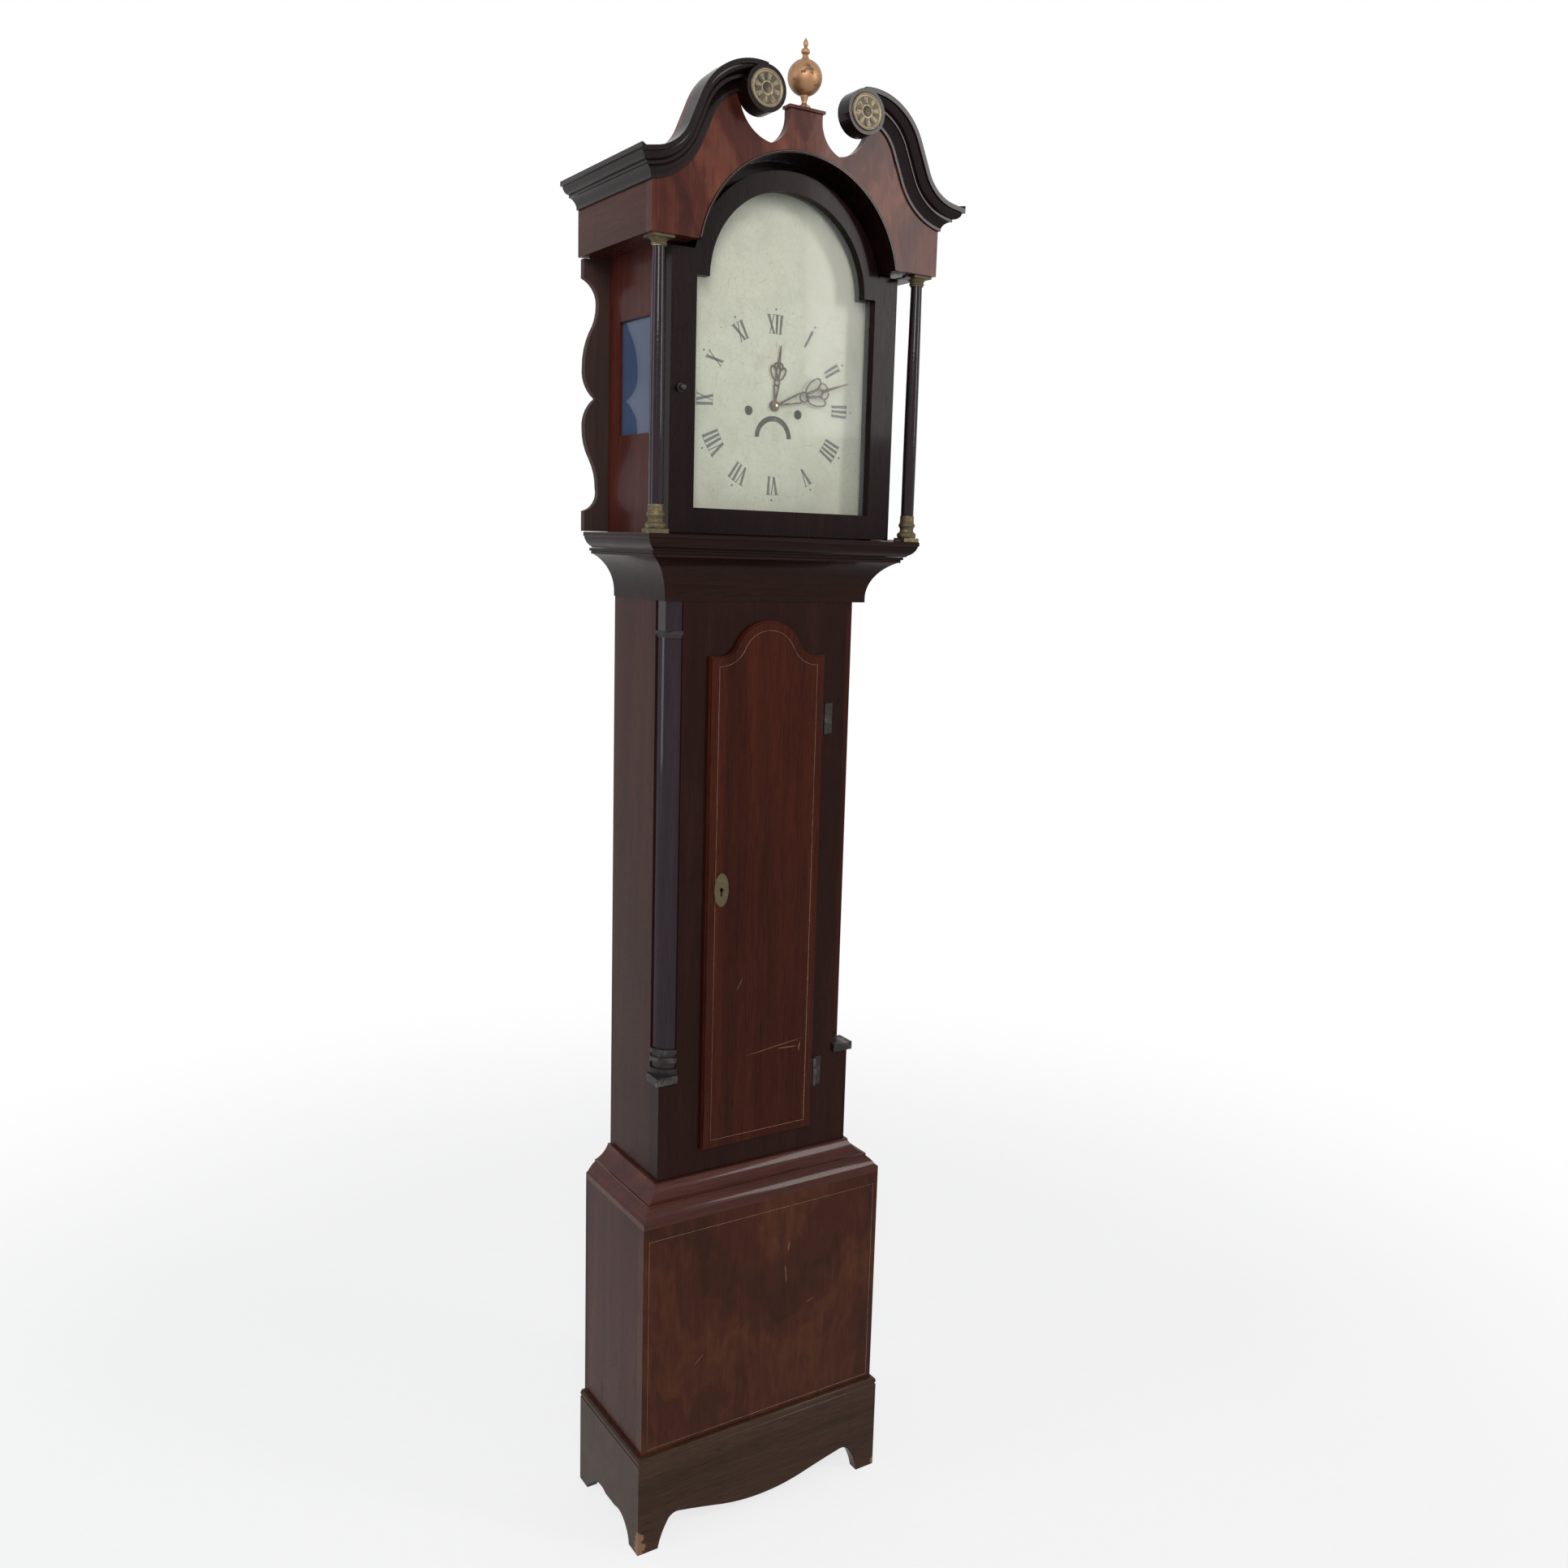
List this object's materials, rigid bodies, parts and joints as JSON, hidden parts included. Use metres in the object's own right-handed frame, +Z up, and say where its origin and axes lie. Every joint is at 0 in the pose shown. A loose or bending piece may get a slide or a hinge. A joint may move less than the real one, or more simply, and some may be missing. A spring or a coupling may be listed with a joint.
{
  "type": "longcase clock",
  "caption": "Tall floor clock: bracket-footed base, trunk with ogee-topped door, sliding hood with swan-neck pediment, arched painted dial, pendulum and weights.",
  "frame": {"origin": "on the floor, in the middle of the clock's overall width and overall depth", "axes": "+Z up, +X to the right as one faces the dial, +Y back towards the wall; the dial faces -Y"},
  "size_m": [0.538, 0.272, 2.288],
  "materials": {
    "mahogany": "aged gloss varnish, flame figured on the base panel and frieze",
    "dark_mahogany": "aged gloss varnish",
    "pine": "bare sawn softwood, darkened",
    "gilt_wood": "worn copper-coloured gilding",
    "aged_brass": "tarnished cast brass",
    "clock_brass": "brushed, lightly tarnished",
    "bell_metal": "cast and turned",
    "steel": "polished, lightly oiled",
    "painted_iron": "old cream paint with grey numerals",
    "glass": "clear sheet glass",
    "weight_iron": "as cast",
    "gut": "twisted gut, waxed"
  },
  "bodies": {
    "case": {"plinth": "dark_mahogany", "base_front_panel": "mahogany", "base_sides": "mahogany", "base_moulding": "dark_mahogany", "trunk_sides": "mahogany", "trunk_front_frame": "mahogany", "quarter_column": "mahogany", "quarter_column_brasses": "aged_brass", "backboard": "pine", "throat_moulding": "dark_mahogany", "seat_board": "pine", "dial_plate": "painted_iron", "movement_plates": "clock_brass", "plate_pillars": "clock_brass", "bell_and_stand": "bell_metal", "trunk_hinge_case_leaves": "aged_brass", "line_tops": "gut", "going_line": "gut", "strike_line": "gut"},
    "trunk_door": {"trunk_door": "mahogany", "trunk_door_escutcheon": "aged_brass", "trunk_door_lock": "steel", "trunk_hinge_door_leaves": "aged_brass"},
    "hood": {"hood_base_frame": "dark_mahogany", "hood_sides": "mahogany", "hood_side_glasses": "glass", "hood_columns": "mahogany", "column_brasses": "aged_brass", "frieze_board": "mahogany", "frieze_returns": "mahogany", "arch_liner": "dark_mahogany", "cornice_returns": "dark_mahogany", "swan_necks": "dark_mahogany", "rosettes": "aged_brass", "finial": "gilt_wood", "hood_roof": "pine", "hood_mask": "mahogany"},
    "hood_door": {"hood_door": "mahogany", "hood_door_glass": "glass", "hood_door_knob": "aged_brass", "hood_door_straps": "aged_brass"},
    "pendulum": {"pendulum_rod": "steel", "pendulum_bob": "clock_brass"},
    "anchor": {"anchor": "steel"},
    "centre": {"centre_wheel": "clock_brass", "minute_hand": "clock_brass"},
    "hour": {"hour_wheel": "clock_brass", "hour_hand": "clock_brass"},
    "great_wheel": {"going_great_wheel": "clock_brass"},
    "minute_wheel": {"minute_wheel": "clock_brass"},
    "third": {"third_wheel": "clock_brass"},
    "escape": {"escape_wheel": "clock_brass"},
    "date": {"date_disc": "painted_iron"},
    "hammer": {"strike_hammer": "steel"},
    "going_weight": {"going_weight": "weight_iron"},
    "strike_weight": {"strike_weight": "weight_iron"},
    "going_barrel": {"going_barrel": "clock_brass"},
    "strike_barrel": {"strike_barrel": "clock_brass"},
    "going_pulley": {"going_pulley": "clock_brass"},
    "strike_pulley": {"strike_pulley": "clock_brass"}
  },
  "joints": [
    {"name": "hood_slide", "type": "slide", "parent": "case", "child": "hood", "axis": [0, -1, 0], "range_m": [0, 0.3]},
    {"name": "hood_door_swing", "type": "hinge", "parent": "hood", "child": "hood_door", "pos_m": [0.194, -0.094, 1.79], "axis": [0, 0, 1], "range_deg": [0, 100]},
    {"name": "trunk_door_swing", "type": "hinge", "parent": "case", "child": "trunk_door", "pos_m": [0.107, -0.042, 1.05], "axis": [0, 0, 1], "range_deg": [0, 115]},
    {"name": "pendulum_swing", "type": "hinge", "parent": "case", "child": "pendulum", "pos_m": [0, 0.091, 1.86628], "axis": [0, 1, 0], "range_deg": [-3, 3]},
    {"name": "anchor_rock", "type": "hinge", "parent": "case", "child": "anchor", "pos_m": [0, 0.041, 1.86628], "axis": [0, 1, 0], "range_deg": [-3, 3]},
    {"name": "minute_turn", "type": "hinge", "parent": "case", "child": "centre", "pos_m": [0, 0.006, 1.79], "axis": [0, 1, 0], "continuous": true},
    {"name": "hour_turn", "type": "hinge", "parent": "case", "child": "hour", "pos_m": [0, -0.014, 1.79], "axis": [0, 1, 0], "continuous": true},
    {"name": "great_wheel_turn", "type": "hinge", "parent": "case", "child": "great_wheel", "pos_m": [0.043, 0.045, 1.78], "axis": [0, 1, 0], "continuous": true},
    {"name": "minute_wheel_turn", "type": "hinge", "parent": "case", "child": "minute_wheel", "pos_m": [0, -0.01, 1.828], "axis": [0, 1, 0], "continuous": true},
    {"name": "third_turn", "type": "hinge", "parent": "case", "child": "third", "pos_m": [0.01414, 0.031, 1.81714], "axis": [0, 1, 0], "continuous": true},
    {"name": "escape_turn", "type": "hinge", "parent": "case", "child": "escape", "pos_m": [0, 0.04, 1.838], "axis": [0, 1, 0], "continuous": true},
    {"name": "date_turn", "type": "hinge", "parent": "case", "child": "date", "pos_m": [0, -0.03, 1.743], "axis": [0, 1, 0], "continuous": true},
    {"name": "hammer_lift", "type": "hinge", "parent": "case", "child": "hammer", "pos_m": [-0.062, 0.024, 1.85], "axis": [0, 1, 0], "range_deg": [-12, 0], "stiffness_Nm_per_rad": 0.05, "springref_deg": 6.88},
    {"name": "going_weight_lift", "type": "slide", "parent": "case", "child": "going_weight", "axis": [0, 0, 1], "range_m": [0, 1.07], "deforming": ["going_line"]},
    {"name": "strike_weight_lift", "type": "slide", "parent": "case", "child": "strike_weight", "axis": [0, 0, 1], "range_m": [0, 1.07], "deforming": ["strike_line"]},
    {"name": "going_barrel_turn", "type": "hinge", "parent": "case", "child": "going_barrel", "pos_m": [0.043, 0.025, 1.78], "axis": [0, 1, 0], "range_deg": [0, 5705]},
    {"name": "strike_barrel_turn", "type": "hinge", "parent": "case", "child": "strike_barrel", "pos_m": [-0.043, 0.025, 1.78], "axis": [0, 1, 0], "range_deg": [0, 5705]},
    {"name": "going_pulley_turn", "type": "hinge", "parent": "going_weight", "child": "going_pulley", "pos_m": [0.0383, 0.025, 0.43], "axis": [0, 1, 0], "range_deg": [0, 3609]},
    {"name": "strike_pulley_turn", "type": "hinge", "parent": "strike_weight", "child": "strike_pulley", "pos_m": [-0.0477, 0.025, 0.43], "axis": [0, 1, 0], "range_deg": [0, 3609]}
  ],
  "couplings": [
    {"joint": "anchor_rock", "follows": "pendulum_swing", "ratio": 1},
    {"joint": "hour_turn", "follows": "minute_turn", "ratio": 0.083333},
    {"joint": "minute_wheel_turn", "follows": "minute_turn", "ratio": -1},
    {"joint": "great_wheel_turn", "follows": "minute_turn", "ratio": -0.083333},
    {"joint": "third_turn", "follows": "minute_turn", "ratio": -7.5},
    {"joint": "escape_turn", "follows": "minute_turn", "ratio": 60},
    {"joint": "going_barrel_turn", "follows": "going_weight_lift", "rad_per_m": 93.023},
    {"joint": "strike_barrel_turn", "follows": "strike_weight_lift", "rad_per_m": 93.023},
    {"joint": "going_pulley_turn", "follows": "going_weight_lift", "rad_per_m": 58.824},
    {"joint": "strike_pulley_turn", "follows": "strike_weight_lift", "rad_per_m": 58.824}
  ]
}
